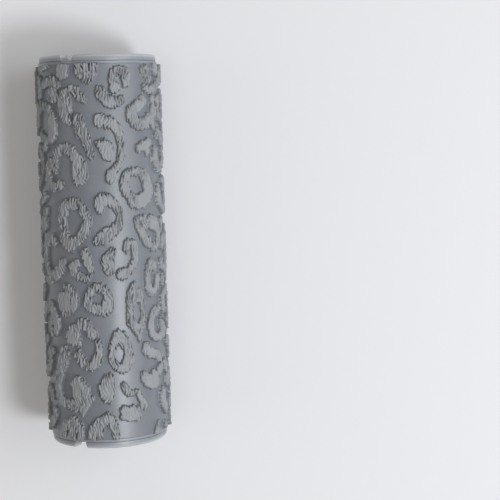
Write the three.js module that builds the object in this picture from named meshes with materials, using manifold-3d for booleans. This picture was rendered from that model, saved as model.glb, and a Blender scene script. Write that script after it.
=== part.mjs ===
import * as THREE from 'three';
import { mergeVertices } from 'three/addons/utils/BufferGeometryUtils.js';
import Module from 'manifold-3d';

// A hollow roller that presses a leopard-skin texture into clay.
// Sizes are in millimetres. The roller lies along Y and its middle is the origin.
// A textured sleeve carries a collar at each end. Each collar's spigot plugs into the sleeve.

// Overall sizes
const overallLength = 100;
const barrelRadius = 15.3;
const reliefHeight = 1.1;
const sleeveSegments = 32;
const collarSegments = 64;

// Walls and fits
const sleeveWall = 2;
const collarWall = 3.5;
const spigotClearance = 0.2;
const overrun = 2;
const shortestEdge = 0.03;

// What each collar shows, from the end face inwards
const rimLength = 1.5;
const rimStep = 0.3;
const rimTaper = 0.1;
const rimChamfer = 0.35;
const boreChamfer = 0.3;
const grooveWidth = 0.25;
const grooveDepth = 0.3;
const shoulderLength = 0.6;
const shoulderStep = 0.1;

// The hidden spigot
const spigotLength = 8;
const spigotLead = 0.5;

// A straight slot crosses each end face and leaves one notch on each side
const notchWidth = 3.9;
const notchFloorWidth = 2.9;
const notchDepth = 1.75;
const notchCount = 2;
const notchAround = -7.4;

// Sizes that follow
const collarShown = rimLength + grooveWidth + shoulderLength;
const sleeveLength = overallLength - 2 * collarShown;
const reliefRadius = barrelRadius + reliefHeight;
const sleeveBoreRadius = barrelRadius - sleeveWall;
const rimRadius = barrelRadius - rimStep;
const rimEndRadius = rimRadius - rimTaper;
const boreRadius = rimRadius - collarWall;
const spigotRadius = sleeveBoreRadius - spigotClearance;
const shoulderRadius = barrelRadius - shoulderStep;
const grooveRadius = rimRadius - grooveDepth;

// The raised marks of the skin. Each mark is a stroke: a row of [around, along, width]. Around counts
// hundredths of the turn, from the top towards +X. Along counts hundredths of the sleeve's length, from
// its middle. Width counts the same hundredths.
const hundredth = 0.01;
const endReachShare = 0.25;
const endWidthShare = 0.8;
const markShares = [
  [[-8.2, 50, 3], [-8.2, 47.6, 2.8]],
  [[-3.9, 50, 1.9], [-2.9, 47.2, 2.2], [-1.6, 46, 2], [-0.4, 47.4, 2], [0.5, 50, 1.8]],
  [[-1.8, 50, 1.2], [-1.6, 47.8, 1.4]],
  [[4.6, 44.9, 1.2], [5, 47.2, 1.5], [6.6, 48.4, 1.7], [8.3, 47.6, 2.2], [9, 45.7, 1.8],
   [8.7, 44.4, 1.2]],
  [[1.4, 43, 2.6], [2.4, 41.2, 3], [4.2, 39.9, 2.6], [6.2, 39.8, 2], [7.6, 41.2, 1.3]],
  [[13.6, 48.8, 1.6], [15.2, 47.6, 3], [17, 47, 1.6]],
  [[19.2, 50, 1.8], [19.6, 47.4, 2.4]],
  [[14, 43.4, 1.8], [17, 43.2, 1.8], [20, 44, 1.8], [22, 46, 1.8], [22.4, 48, 1.6]],
  [[13.4, 39.8, 2], [11.4, 39, 3], [10, 37.2, 3], [10.8, 34.9, 3.2], [13, 34, 3], [15.2, 35, 2.4],
   [16.4, 36.2, 1.4]],
  [[17.4, 41, 1.8], [17.6, 38.4, 2], [17.4, 35.6, 1.8], [17, 33.2, 1.4]],
  [[19.4, 40.2, 1.6], [22, 40.6, 1.6]],
  [[20.6, 39, 1.4], [21, 36.6, 1.4], [21.2, 35.2, 1.2]],
  [[23.4, 41.6, 1.4], [25.2, 42, 2], [25.8, 39.6, 1.8], [23.2, 34.8, 2.2]],
  [[-10.6, 46, 1.8], [-12, 45.2, 2.2], [-13, 43, 2.6], [-12.2, 41.4, 2], [-11, 41.8, 1.6]],
  [[-13.6, 49.6, 2.6], [-15.6, 48.2, 2.8], [-17, 46, 2.4], [-17, 43.4, 2], [-18.6, 41.8, 1.6]],
  [[-4.8, 43.4, 1.8], [-6.8, 42.6, 2.6], [-8.2, 40.8, 3], [-8.4, 38.2, 2.6], [-7.6, 35.8, 2.2],
   [-6.6, 34.7, 1.4]],
  [[-4.8, 43.4, 1.8], [-3.8, 41.8, 2], [-2.6, 40.2, 1.4]],
  [[-6.6, 42.6, 1.6], [-6.4, 40, 1.6], [-6, 37.4, 1.4]],
  [[-17.4, 37.4, 1.6], [-16.6, 39.2, 2], [-14.4, 39.6, 2.2], [-12.8, 37.6, 2], [-12.2, 34.6, 2.2],
   [-12.8, 32, 2.2], [-14.8, 31, 2.4], [-16.8, 32.4, 2]],
  [[-15.4, 30.6, 2], [-15.4, 28.6, 1.6]],
  [[-4.4, 36.2, 2.4], [-3.9, 33.4, 3.2], [-2.2, 30.4, 2.8], [-1, 27.8, 2.4], [-0.4, 25.6, 1.8]],
  [[0.8, 35.2, 3.2], [3, 34.8, 3], [5, 33.6, 2.4], [6.2, 31.2, 2], [6.6, 28.4, 1.8], [6.6, 26, 1.8],
   [6, 24.6, 1.4]],
  [[6.2, 23.6, 1.4], [4.8, 22.4, 1.8], [3.6, 20.8, 2.2], [3.2, 19.4, 1.8]],
  [[11.4, 27.6, 2], [13.2, 28, 2.6], [15.2, 29.2, 2]],
  [[14.4, 27, 1.4], [14.6, 25.6, 1.2]],
  [[18.2, 27.2, 1.8], [18, 24.4, 2.2], [22.2, 22.4, 2.4], [24, 24.2, 2.2], [24, 27, 1.8]],
  [[18.8, 30.4, 1.4], [20.2, 32.2, 1.4], [21.6, 30.4, 2], [22.6, 29, 1.8]],
  [[-11.2, 26.2, 2], [-9.2, 27.6, 2.4], [-7.2, 27.8, 2.4], [-5.2, 26, 2.6], [-4, 23.4, 3],
   [-3.6, 20.6, 2.8], [-4.2, 18.8, 2]],
  [[-11.2, 24.8, 2], [-13.4, 24, 2.4], [-14.6, 21.6, 2.2], [-14.2, 19, 2.2], [-12.4, 17.8, 2.2],
   [-10, 18.6, 1.8]],
  [[0.6, 11.4, 1.8], [0.8, 14, 2.8], [2.8, 14.4, 2.6], [4.6, 12.4, 2], [5.8, 10, 1.6], [5.2, 7.6, 2.2],
   [3.4, 5.8, 2.6], [1.4, 4.4, 3], [-0.6, 3, 2.2]],
  [[7, 0.8, 1.6], [7.4, 2.4, 1.8], [8.9, 2.4, 1.8], [9.4, 0.2, 1.6], [9.2, -2.4, 1.6], [8, -4.4, 1.8],
   [6.2, -5.4, 2.2], [5, -6.2, 1.8]],
  [[3.8, 0.6, 1.6], [2.2, -0.8, 2.4], [1.8, -2.8, 2.8], [2.6, -4.8, 2]],
  [[10.2, 8.2, 2.2], [12.8, 8, 3.2], [15.8, 7.6, 3.4], [17.6, 6, 2.4]],
  [[17.9, 6.2, 1.8], [18.2, 3.4, 1.6], [17.8, 1.2, 1.6]],
  [[10.6, 7.2, 1.8], [11.8, 5, 2], [13.6, 2.6, 2.2], [15.4, 1, 1.8], [17.4, 0.9, 1.6]],
  [[-20.2, 8, 3], [-18.4, 7.4, 3.4], [-16.8, 9.2, 2.2], [-15.2, 11.6, 1.4]],
  [[-20, 13.4, 1.4], [-18, 14.4, 1.8], [-16.4, 15.6, 1.8]],
  [[-12.8, 2.6, 1.4], [-14.2, 4, 1.8], [-16.4, 3.2, 2], [-17.8, 0.6, 2], [-17.8, -2.2, 2.2],
   [-16.6, -5.2, 2.6], [-14.2, -6.2, 2.8], [-12, -5, 2.2], [-10.6, -3.2, 2.2], [-10, -1.8, 1.4]],
  [[-5.6, -2.4, 1.4], [-7.2, -3.6, 1.6], [-6.4, -5.4, 1.6], [-4.6, -6.4, 2], [-2.8, -6.8, 1.8]],
  [[-3.6, 0.8, 1.6], [-3.2, -1.2, 1.6], [-2.4, -3.2, 1.6], [-1.6, -4.8, 1.2]],
  [[17.4, -15.8, 1.6], [15.4, -16.8, 2.2], [13.8, -19, 1.8], [13.8, -21.8, 1.8], [15.6, -23.6, 1.8],
   [18, -23.4, 2.4], [19.6, -21.6, 2.2], [18.4, -19.4, 2.4]],
  [[-9.8, -8.8, 1.4], [-8, -9.4, 1.6], [-7, -11.4, 1.6], [-7.2, -13.8, 1.6], [-8.6, -15.6, 1.6],
   [-10.4, -16.4, 1.2]],
  [[-11.6, -10.2, 1.6], [-11, -12.4, 1.2], [-10.8, -14.4, 1.2]],
  [[8.4, -9.4, 2.2], [8.4, -12, 3.2], [7.5, -15.4, 1.6], [7.8, -18.6, 2.2], [9.4, -20.8, 2.2]],
  [[9.6, -10, 1.8], [10.8, -12.8, 1.8], [11.5, -16, 1.5], [11.1, -19, 1.7], [9.9, -20.6, 1.8]],
  [[9.6, -21.4, 1.4], [10.2, -23.4, 1.2]],
  [[-8.2, -22.8, 2.4], [-7.8, -20.6, 2.6], [-6.2, -19.2, 2], [-4.6, -18.2, 2], [-3.2, -20.2, 2.4],
   [-2, -22.4, 1.8]],
  [[-0.9, -23.4, 1.4], [-0.8, -26, 1.6], [-1.6, -28.6, 2.4], [-3.4, -29.8, 2.4], [-5.4, -28.8, 2],
   [-6.8, -26.8, 1.6]],
  [[-21.8, -18.6, 1.8], [-20.6, -16.4, 2.2], [-18, -14.8, 2.4], [-15.6, -14.4, 2.2], [-14, -16.4, 2.2],
   [-13.4, -19, 2.2], [-13.8, -21.6, 1.6]],
  [[-15.8, -20.4, 1.6], [-15.8, -22, 1.4]],
  [[-23.2, -21, 1.8], [-24.2, -24, 2], [-23.6, -32.8, 2.2], [-21, -33.2, 2.2], [-17.2, -29, 2],
   [-17.4, -26.8, 1.8], [-15.2, -26.4, 1.4]],
  [[-20.4, -24.8, 1.8], [-19, -23, 1.4]],
  [[-10.8, -25.4, 1.8], [-10.6, -28, 2.4], [-12, -30.8, 2.4], [-13.4, -33.6, 2.4], [-13.8, -36.6, 2.4],
   [-13, -39.2, 2.6], [-10.6, -40.6, 2.4], [-8, -40.6, 2.6], [-5.4, -40.2, 2.8], [-4.6, -37.6, 2.2],
   [-5.4, -35.2, 2], [-7.2, -33.8, 1.8], [-8.6, -34.6, 1.4]],
  [[-5, -40.6, 2.4], [-3, -38.6, 1.2]],
  [[-5.4, -41.2, 1.8], [-6, -43, 1.2]],
  [[1.2, -33.2, 2], [0.6, -35.2, 3], [0.2, -37.4, 3], [1.2, -39, 2]],
  [[5.8, -35.2, 1.4], [6.4, -36.4, 1.6], [7.4, -37.4, 1.4]],
  [[8.6, -37.4, 1.2], [9.6, -39.2, 1.4], [10.8, -41.4, 1.6]],
  [[4.8, -42.8, 2.4], [6.8, -43, 2.6], [9, -43.2, 2.8], [11, -42.6, 2.6], [13, -41.2, 1.6]],
  [[12.6, -24.6, 1.4], [11.8, -26.6, 2.2], [13.6, -27.6, 2.4], [15.8, -28.4, 2.2], [17.6, -29.6, 1.6]],
  [[10.8, -33.2, 2], [11.6, -35, 2.6], [13.6, -36.4, 2.6], [16, -36.8, 2]],
  [[13.8, -33.4, 1.6], [16, -33.2, 2], [17.6, -31.6, 1.8]],
  [[20.4, -30.8, 1.8], [20.6, -33.2, 1.6]],
  [[-14.6, -49, 2], [-12.6, -47.4, 2.2], [-10.6, -45.8, 2.4], [-8.4, -45.4, 2.4], [-7, -47, 2],
   [-6.8, -50, 1.6]],
  [[-9.4, -46.8, 2], [-9.6, -50, 1.8]],
  [[-3.4, -50, 2], [-2.8, -46.8, 2.4], [-0.8, -45, 2.4], [0.8, -44, 2.4], [2.2, -46.2, 2.2],
   [2.8, -49.6, 1.6]],
  [[-1.2, -46.2, 1.6], [-1.4, -48.8, 1.4]],
  [[15, -50, 2], [15.8, -47.4, 1.6]],
  [[18.4, -38.6, 1.8], [18, -40.8, 2], [19, -43, 2.2], [20.8, -44.8, 2]],
  [[21.8, -37.4, 1.8], [22, -35.2, 2], [25.8, -36.8, 2.2], [26.8, -39.4, 2.4], [24, -43.6, 2.2]],
  [[19.2, -48.4, 1.4], [21, -48.6, 1.2]],
  [[25, 50, 1.4], [25.6, 47, 1.6], [27.2, 45.8, 2.2], [29.6, 50, 1.8]],
  [[39.4, 34.6, 2.2], [41.4, 36, 2.4], [43.4, 34.6, 2.4], [44, 29.2, 1.8]],
  [[39, 32.6, 2], [39, 29.8, 1.8], [39.8, 27.6, 2], [41.8, 30.2, 1.6]],
  [[31.2, 33, 1.8], [29.8, 34, 2], [26.2, 30.6, 2], [27, 28.6, 1.8], [28.6, 26.6, 1.8]],
  [[32.6, 29.6, 1.8], [34.4, 28.4, 2.6], [34.4, 23.6, 2.4], [32.6, 23.4, 2.4], [30.8, 24.6, 2]],
  [[39.8, 49, 1.6], [40.6, 46.6, 2.2], [41.8, 44.6, 2.4], [44.6, 47.8, 2]],
  [[48.4, 50, 1.8], [49.8, 48.4, 1.8], [51.4, 47.8, 1.6]],
  [[45.2, 38.4, 1.8], [44.8, 40.6, 1.8], [48.2, 42.8, 2], [49.9, 41, 2], [51, 35.6, 2], [48.6, 33.6, 2]],
  [[46.9, 36.8, 1.6], [47.4, 39.4, 1.6]],
  [[49.4, 28.6, 1.4], [48.8, 27.2, 2]],
  [[45.6, 25.2, 1.8], [45, 22.6, 2], [48, 17.8, 2.6], [49.8, 19.6, 2.4], [50.6, 22.4, 1.8]],
  [[19.2, 17.2, 1.6], [19.2, 14.4, 2], [22.8, 10.8, 2.2], [24.8, 11.8, 2.6], [25, 17.8, 2.6],
   [22.2, 18.6, 1.8]],
  [[20.8, 8, 1.6], [20.7, 6.4, 1.6]],
  [[30.4, 19.2, 1.6], [29.8, 16.4, 2.4], [29.6, 10.8, 2.4], [32, 8.8, 2.2], [34.6, 7.6, 2.2]],
  [[36.2, 19.4, 1.6], [35.2, 17, 2], [34.6, 14.6, 2.4], [34.6, 12.6, 2]],
  [[39, 22.2, 1.4], [39.4, 19.8, 2.4], [41.6, 15, 2.4], [41, 12.4, 2.2], [37, 11, 2]],
  [[27.8, 5.4, 1.8], [26.8, 3.6, 1.8], [28.4, 1.8, 2], [31.6, -1.2, 2.4]],
  [[30.2, 4.8, 1.8], [31.4, 3.2, 2.2], [32.4, 1.6, 1.8]],
  [[20.6, 0.6, 1.6], [21.2, 2.8, 1.8], [24.8, 0.2, 1.8], [25, -3, 1.8], [20.8, -5, 1.8],
   [19.6, -3.2, 1.6]],
  [[19.9, -8, 1.4], [19.8, -9.6, 1.4]],
  [[37.4, 2, 2], [39.2, 3.4, 2], [43.2, 1.4, 2.2], [43.4, -1.6, 2.4], [43, -4.6, 2.2]],
  [[35.2, 0.4, 2], [34.6, -3, 2], [37, -8.6, 2.4], [39.4, -10.4, 2.6], [42.4, -10.6, 2.4]],
  [[37.6, -1.2, 2], [38.6, -3.4, 2], [39.6, -6, 2]],
  [[22.2, -11.8, 1.6], [20.2, -12.4, 1.8], [19.8, -14.8, 1.8], [20.8, -17.2, 1.8]],
  [[24.4, -12.6, 2], [26.2, -14.2, 2], [26.4, -20, 2.4], [24.8, -21.4, 2], [23.2, -19.6, 2]],
  [[32.6, -17.8, 1.4], [31.4, -18.6, 1.6], [31.2, -20.6, 1.4]],
  [[29.9, -22.8, 1.4], [29.8, -24.4, 1.4]],
  [[34.8, -18.4, 1.6], [35, -15.8, 2], [38.8, -17.4, 1.8], [39.4, -20.6, 1.8], [36.6, -25.2, 2.2],
   [34.4, -24.6, 2]],
  [[44.4, -15.6, 1.6], [43.2, -17.4, 2], [42.6, -19.8, 2], [42.2, -22, 1.6]],
  [[46, -17.2, 1.8], [46.4, -19.8, 2.2], [45, -25.4, 2.4], [43.4, -28.2, 2.2], [41, -29.4, 1.6]],
  [[47, -6.2, 1.8], [46, -8.2, 2], [49.2, -12.8, 2.4], [51.2, -11.6, 2.4], [51.2, -6, 2.2]],
  [[22, -25.4, 1.6], [24, -26, 2.2], [25.6, -27.6, 2], [25.8, -30.4, 1.4]],
  [[30.6, -27.4, 1.6], [28.8, -29.4, 1.8], [29, -35.2, 1.8], [29.6, -38.2, 1.8], [30.8, -40.4, 1.8]],
  [[32.4, -28.4, 1.4], [32.7, -31.2, 1.8], [32.8, -34, 1.8]],
  [[31.8, -37.6, 1.2], [33, -36.8, 1.2]],
  [[38, -30.4, 1.6], [37.4, -33.4, 2]],
  [[39.2, -31.4, 1.6], [40.2, -33.6, 1.8], [41.4, -36, 1.6]],
  [[34.8, -38.2, 2], [33.7, -41, 1.8], [33.5, -43.4, 1.4]],
  [[44.8, -33.4, 1.6], [43.5, -35.4, 2], [44.6, -41.2, 2], [46.4, -41.6, 2], [48.8, -36.6, 1.8],
   [47.8, -34, 1.8], [48.6, -32.2, 1.6]],
  [[25.8, -50, 1.8], [26.8, -46.8, 1.8], [29, -45.2, 1.8], [32.4, -48.6, 2]],
  [[43.2, -50, 1.2], [45, -47.6, 1.8], [46.8, -48, 1.6]],
  [[52, -40.8, 1.6], [51, -43.4, 2], [50.2, -46.2, 2.2], [50.4, -50, 1.8]],
  [[-29, 48.4, 1.8], [-28.8, 46, 1.8], [-27.4, 46.2, 1.6]],
  [[-25, 50, 1.4], [-25, 47.4, 1.4]],
  [[-22, 48, 1.4], [-22.2, 45.4, 1.6], [-22.6, 42.8, 1.6], [-23.6, 40.4, 1.4]],
  [[-24.6, 43.6, 1.2], [-26.4, 43.2, 1.4], [-26.7, 40.2, 1.4]],
  [[-28.4, 37.6, 1.6], [-28.2, 35.4, 1.8], [-26.6, 34.4, 2], [-25.2, 35.8, 1.8]],
  [[-19.6, 39.4, 1.8], [-20.2, 37.2, 2.2], [-21, 34.8, 2.4], [-22.2, 32.2, 2]],
  [[-22, 26.4, 1.8], [-20.8, 28, 2], [-18.8, 27.6, 2], [-17.8, 25.2, 2.2], [-17.8, 22.6, 2],
   [-19.2, 20.6, 2.2], [-22.2, 18.2, 2]],
  [[-22.4, 23.4, 1.4], [-22.6, 21.2, 1.4]],
  [[-26.6, 28.4, 2.2], [-27.8, 25.2, 3], [-28.6, 22.2, 2.4]],
  [[-27.2, 17.8, 1.8], [-27, 15.4, 1.6]],
  [[-25.4, 18.6, 1.2], [-24.8, 16.8, 1.2]],
  [[-24, 13.6, 1.4], [-24.6, 11.6, 1.6], [-24.6, 9.4, 1.4]],
  [[-30.4, 11, 1.8], [-28.4, 11.4, 1.8], [-26.8, 10.4, 1.4]],
  [[-30.4, 7.6, 1.8], [-30.2, 4.8, 2], [-28.8, 2.6, 1.8]],
  [[-23, 6, 1.4], [-24.6, 5.6, 1.6], [-25.2, 3.4, 1.8], [-25.6, 0.8, 1.6]],
  [[-21, 1.6, 1.6], [-22.6, 0, 1.8], [-23.4, -1.4, 1.6]],
  [[-25.4, -4.2, 1.6], [-27.4, -5, 2.2], [-26.8, -10.2, 2.4], [-24.6, -12, 2.4], [-20.2, -9.4, 2.2]],
  [[-21.2, -3.6, 1.4], [-21.4, -6.2, 1.4]],
  [[-28.8, -14.8, 2.2], [-29.4, -17.6, 2.2], [-29.2, -20.4, 1.8], [-28, -22.6, 1.4]],
  [[-29.6, -26.4, 1.6], [-29.8, -29.6, 1.8], [-29.8, -33.6, 1.6]],
  [[-30.2, -38.6, 1.8], [-28.2, -37.8, 1.6], [-26.6, -39.8, 1.6], [-27.2, -45, 2]],
  [[-20.8, -39, 1.8], [-19.4, -37.4, 1.8], [-17.4, -37.6, 1.8], [-16.8, -39.6, 1.8]],
  [[-21.4, -42.2, 1.6], [-21, -44.6, 2], [-19.6, -46.8, 2.4], [-17.4, -46.4, 2.2], [-16, -44.4, 1.8],
   [-15.9, -42.4, 1.4]],
  [[-24.2, -50, 1.4], [-22.8, -48.4, 1.2]],
  [[54.4, 45.6, 1.8], [56.2, 46.6, 2.2], [58.2, 45.6, 2.2], [57.4, 41, 2]],
  [[62.4, 50, 1.8], [62, 47.2, 2.2], [64, 45.6, 2.2], [66.2, 46.6, 2]],
  [[54.6, 38.6, 2], [54.4, 35.8, 2.4], [56.2, 33.6, 2.4], [60.2, 35.8, 1.8]],
  [[63.4, 40.8, 2], [65.4, 39.4, 2.4], [66.6, 37, 2.2], [66, 34.4, 2]],
  [[62.4, 37.4, 1.4], [62.6, 35.2, 1.6]],
  [[54, 28.8, 1.8], [55.8, 29.8, 2.2], [58.8, 26.4, 2.2], [57.6, 23.8, 2.2], [55.2, 23.2, 2]],
  [[62.2, 30.4, 1.6], [64.4, 29.6, 2], [66, 27.4, 2]],
  [[62.4, 25.6, 2], [62.6, 22.8, 2.4], [64.6, 20.8, 2.4], [67, 21.2, 1.8]],
  [[54.2, 18.6, 1.6], [56.4, 17.6, 2], [58.6, 18.4, 1.8]],
  [[63.4, 15.6, 1.8], [64.8, 13.4, 2.2], [65.4, 10.8, 1.8]],
  [[63.6, 5.6, 1.8], [65.2, 3.8, 2.2], [65.4, 1, 2.2], [63.8, -0.8, 1.8]],
  [[55, 2, 1.6], [57, 1, 2], [59, -0.6, 2]],
  [[55.8, -5, 2], [57.8, -4.2, 2.2], [60.4, -8.2, 2.2], [58.8, -10.6, 2.2], [56.4, -10.8, 2]],
  [[64.2, -5.6, 1.8], [65.4, -8, 2], [65.2, -10.8, 1.6]],
  [[56.8, -15.6, 1.6], [57.8, -18, 2], [57.4, -20.6, 1.8]],
  [[57, -26, 2], [59.2, -26.8, 2.2], [60.4, -29.4, 2.2], [59.4, -32.2, 2]],
  [[54.6, -30.4, 1.8], [54.8, -33.4, 2.2], [56.6, -35.6, 2]],
  [[64.6, -26.4, 1.8], [65.6, -29.2, 2.2], [64.6, -32, 2]],
  [[61.6, -36.2, 1.8], [63.8, -37, 2.2], [65.6, -39.4, 2.2], [63, -43.6, 1.8]],
  [[55.4, -40.4, 2], [57.6, -40, 2.2], [59.2, -42, 2.2], [58.6, -44.6, 2]],
  [[55.6, -50, 1.6], [56.6, -47.8, 1.8]],
  [[61.6, -50, 1.8], [62.8, -47.6, 1.8], [65, -47.2, 1.6]],
  [[67.6, -50, 1.6], [67.8, -47.8, 1.6]]
];

// Marks that close on themselves round a smooth middle
const ringShares = [
  [[8, 20.4, 2], [10, 21.2, 1.8], [12.2, 20.6, 2.2], [13.8, 18.6, 3], [14.4, 15.8, 3], [12.6, 13.4, 2.8],
   [10, 12.8, 2.4], [8.4, 14.8, 2], [7.4, 17.6, 2.4]],
  [[-9.6, 11.6, 2], [-7.8, 13.4, 2.4], [-5.6, 13.4, 2.6], [-3.6, 11.2, 1.8], [-2.9, 8.6, 1.2],
   [-4, 5.6, 2], [-6, 3.4, 2.6], [-7.8, 1.8, 2.4], [-9.4, 4.4, 2.2], [-10.4, 8, 1.6]],
  [[14.2, -3.6, 2.2], [16.2, -4.2, 2], [17, -6.6, 1.6], [16.8, -9.2, 1.8], [15.6, -11, 1.8],
   [13.6, -10.6, 1.8], [13.3, -7, 1.8]],
  [[-1, -9, 2], [1.2, -9.8, 2], [2.4, -12, 2.2], [1.8, -14.4, 2.4], [-0.4, -15, 2.4], [-2.6, -14, 2.4],
   [-3, -11.4, 2]],
  [[4.4, -21.6, 2.4], [5.8, -23.8, 2.6], [6.8, -26.6, 2], [6.6, -29.4, 2.4], [5, -31, 1.8],
   [3, -29.8, 1.8], [2.2, -27.2, 1.4], [2.8, -24.4, 1.8]],
  [[33.4, 45.2, 2], [35.4, 45.2, 2], [36.6, 38.8, 2], [34.4, 36.6, 2.2], [31.2, 40.4, 2], [32, 43.8, 2]],
  [[44.8, 9.4, 1.8], [46.4, 10.8, 2.2], [50.6, 10.6, 2.4], [51.4, 7.6, 2.4], [49, 1.6, 2.4],
   [47, 3.4, 2]],
  [[29, -7.2, 2], [31.2, -6.2, 2], [33.6, -10.6, 2.4], [32, -13, 2.4], [28.8, -10, 1.8]],
  [[51, -19.8, 2], [49.8, -22.4, 2], [50.6, -25.6, 2.2], [52.6, -26.2, 2.2], [53.8, -23.6, 2.2],
   [53, -20.6, 2]],
  [[37, -38.2, 2.2], [39.2, -38.8, 2.2], [40.6, -44.4, 2.2], [38.8, -46.6, 2.4], [35.8, -43.4, 1.8],
   [36, -40.6, 1.8]],
  [[56, 12.6, 2], [58.2, 13.2, 2], [60, 8.6, 2.2], [58, 6.8, 2], [55.2, 10.2, 1.8]],
  [[63, -14.8, 2], [65.4, -15.4, 2.2], [65.6, -20.8, 2], [63, -21.6, 2], [61.8, -16.6, 1.8]]
];

const wasm = await Module();
wasm.setup();

// A closed mesh as a solid that can be joined and cut
function solidOf(geometry) {
  const bare = new THREE.BufferGeometry();
  bare.setAttribute('position', geometry.getAttribute('position'));
  bare.setIndex(geometry.getIndex());
  const merged = mergeVertices(bare);
  return new wasm.Manifold(new wasm.Mesh({
    numProp: 3,
    vertProperties: new Float32Array(merged.getAttribute('position').array),
    triVerts: new Uint32Array(merged.getIndex().array)
  }));
}

function turnOf(around) {
  return around * hundredth * 2 * Math.PI;
}

function geometryOf(solid) {
  const mesh = solid.simplify(shortestEdge).getMesh();
  const geometry = new THREE.BufferGeometry();
  geometry.setAttribute('position', new THREE.BufferAttribute(mesh.vertProperties, mesh.numProp));
  geometry.setIndex(new THREE.BufferAttribute(mesh.triVerts, 1));
  geometry.computeVertexNormals();
  return geometry;
}

function rod(radius, length) {
  return solidOf(new THREE.CylinderGeometry(radius, radius, length, sleeveSegments));
}

// Both sides of a stroke, half its width from its middle line at each point. The ends of an open
// stroke reach a little past its end points and draw in there.
function strokeSides(points, closed) {
  const left = [];
  const right = [];
  const last = points.length - 1;
  points.forEach(([around, along, width], i) => {
    const before = points[i > 0 ? i - 1 : closed ? last : 0];
    const after = points[i < last ? i + 1 : closed ? 0 : last];
    const heading = new THREE.Vector2(after[0] - before[0], after[1] - before[1]).normalize();
    const middle = new THREE.Vector2(around, along);
    const offset = new THREE.Vector2(-heading.y, heading.x).multiplyScalar(width / 2);
    if (!closed && (i === 0 || i === last)) {
      middle.addScaledVector(heading, width * (i === 0 ? -endReachShare : endReachShare));
      offset.multiplyScalar(endWidthShare);
    }
    left.push(middle.clone().add(offset));
    right.push(middle.clone().sub(offset));
  });
  return { left, right };
}

function markShape(points) {
  const { left, right } = strokeSides(points, false);
  return new THREE.Shape([...left, ...right.reverse()]);
}

function ringShape(points) {
  const { left, right } = strokeSides(points, true);
  const size = (line) => Math.abs(THREE.ShapeUtils.area(line));
  const [hole, outer] = [left, right].sort((a, b) => size(a) - size(b));
  if (THREE.ShapeUtils.isClockWise(outer)) outer.reverse();
  const shape = new THREE.Shape(outer);
  shape.holes.push(new THREE.Path(hole));
  return shape;
}

// A flat mark bent round the barrel, from inside its wall to past the top of the relief. Its walls
// stand parallel to the radius through its middle.
function raisedMark(shape) {
  const geometry = new THREE.ExtrudeGeometry(shape, { depth: 1, steps: 1, bevelEnabled: false });
  geometry.computeBoundingBox();
  const { min, max } = geometry.boundingBox;
  const up = turnOf((min.x + max.x) / 2);
  const foot = -sleeveWall;
  const head = reliefHeight + overrun;
  const position = geometry.getAttribute('position');
  for (let i = 0; i < position.count; i += 1) {
    const turn = turnOf(position.getX(i));
    const along = position.getY(i) * hundredth * sleeveLength;
    const lift = foot + (head - foot) * position.getZ(i);
    const across = barrelRadius * Math.sin(turn) + lift * Math.sin(up);
    const height = barrelRadius * Math.cos(turn) + lift * Math.cos(up);
    position.setXYZ(i, across, along, height);
  }
  return solidOf(geometry);
}

// The hollow barrel with its relief, cut square at both ends
function texturedSleeve() {
  const marks = markShares.map((points) => raisedMark(markShape(points)));
  const rings = ringShares.map((points) => raisedMark(ringShape(points)));
  const cutLength = sleeveLength + 2 * overrun;
  const raised = wasm.Manifold.union([rod(barrelRadius, cutLength), ...marks, ...rings]);
  const trimmed = raised.intersect(rod(reliefRadius, sleeveLength));
  return trimmed.subtract(rod(sleeveBoreRadius, cutLength));
}

// One notch, cut radially through the rim and open at the end face
function notchCutter(turn) {
  const shape = new THREE.Shape([
    new THREE.Vector2(-notchFloorWidth / 2, collarShown - notchDepth),
    new THREE.Vector2(notchFloorWidth / 2, collarShown - notchDepth),
    new THREE.Vector2(notchWidth / 2, collarShown),
    new THREE.Vector2(notchWidth / 2, collarShown + overrun),
    new THREE.Vector2(-notchWidth / 2, collarShown + overrun),
    new THREE.Vector2(-notchWidth / 2, collarShown)
  ]);
  const depth = collarWall + 2 * overrun;
  const geometry = new THREE.ExtrudeGeometry(shape, { depth, steps: 1, bevelEnabled: false });
  geometry.translate(0, 0, boreRadius - overrun);
  geometry.rotateY(turn);
  return solidOf(geometry);
}

// A collar with its outer face towards +Y and its seat against the sleeve at y = 0
function endCollar(firstTurn) {
  const rimStart = shoulderLength + grooveWidth;
  const profile = [
    [boreRadius, -spigotLength],
    [spigotRadius - spigotLead, -spigotLength],
    [spigotRadius, -spigotLength + spigotLead],
    [spigotRadius, 0],
    [shoulderRadius, 0],
    [shoulderRadius, shoulderLength],
    [grooveRadius, shoulderLength],
    [grooveRadius, rimStart],
    [rimRadius, rimStart],
    [rimEndRadius, collarShown - rimChamfer],
    [rimEndRadius - rimChamfer, collarShown],
    [boreRadius + boreChamfer, collarShown],
    [boreRadius, collarShown - boreChamfer],
    [boreRadius, -spigotLength]
  ].map(([radius, along]) => new THREE.Vector2(radius, along));
  let collar = solidOf(new THREE.LatheGeometry(profile, collarSegments));
  for (let i = 0; i < notchCount; i += 1) {
    collar = collar.subtract(notchCutter(firstTurn + i * 2 * Math.PI / notchCount));
  }
  return collar;
}

function resin(colour, roughness) {
  return new THREE.MeshStandardMaterial({ color: colour, roughness, metalness: 0 });
}

function namedMesh(name, solid, material) {
  const mesh = new THREE.Mesh(geometryOf(solid), material);
  mesh.name = name;
  return mesh;
}

const roller = new THREE.Group();
const notchTurn = turnOf(notchAround);
const sleeveResin = resin(0x8a97a6, 0.5);
const collarResin = resin(0x84919f, 0.45);

roller.add(namedMesh('textured_sleeve', texturedSleeve(), sleeveResin));

const farCollar = namedMesh('far_end_collar', endCollar(notchTurn), collarResin);
farCollar.position.y = sleeveLength / 2;
roller.add(farCollar);

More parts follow.
